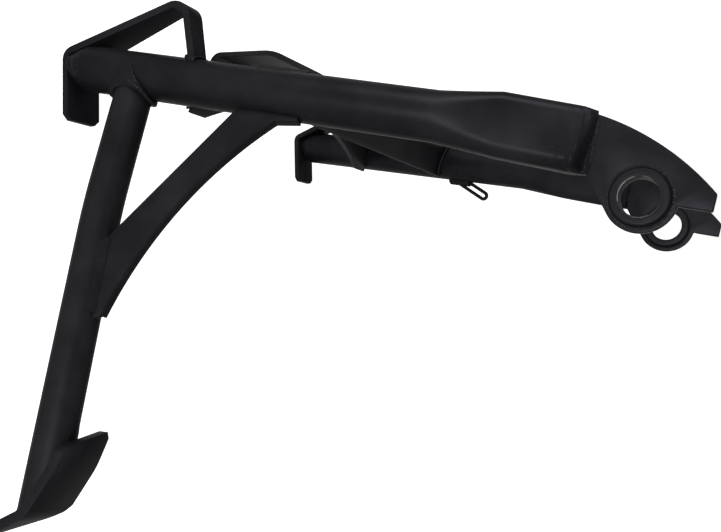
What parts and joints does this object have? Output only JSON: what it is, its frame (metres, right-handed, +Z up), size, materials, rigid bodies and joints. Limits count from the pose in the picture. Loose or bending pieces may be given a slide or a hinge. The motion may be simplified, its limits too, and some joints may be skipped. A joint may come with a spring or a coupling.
{
  "type": "motorcycle centre stand",
  "caption": "Welded tubular centre stand for a motorcycle, with pivot bosses, splayed legs, a pressed cross brace, strap feet and a foot lever with a gusset and pad.",
  "frame": {"origin": "middle of the pivot axis, halfway between the pivot bosses", "axes": "+X forward, +Y to the left along the pivot axis, +Z up; the stand is in its working pose, with its soles level"},
  "size_m": [0.3342, 0.4111, 0.4077],
  "materials": {
    "coat": "satin black powder coat",
    "weld": "coated weld beads, a little glossier",
    "boss": "satin black coat with a worn bore rim"
  },
  "bodies": {
    "root": {"left_pivot_plate": "coat", "left_pivot_boss": "boss", "left_leg_tube": "coat", "left_foot_strap": "coat", "right_pivot_plate": "coat", "right_pivot_boss": "boss", "right_leg_tube": "coat", "right_foot_strap": "coat", "cross_brace": "coat", "lever_tube": "coat", "lever_pad": "coat", "lever_gusset": "coat", "spring_hanger_loop": "coat", "spring_hanger_weld": "weld", "left_boss_weld": "weld", "left_plate_weld": "weld", "left_foot_weld": "weld", "left_strap_weld": "weld", "left_brace_front_weld": "weld", "left_brace_rear_weld": "weld", "right_boss_weld": "weld", "right_plate_weld": "weld", "right_foot_weld": "weld", "right_strap_weld": "weld", "right_brace_front_weld": "weld", "right_brace_rear_weld": "weld", "lever_root_weld": "weld", "pad_weld": "weld", "gusset_leg_weld": "weld", "gusset_lever_weld": "weld"}
  },
  "joints": []
}
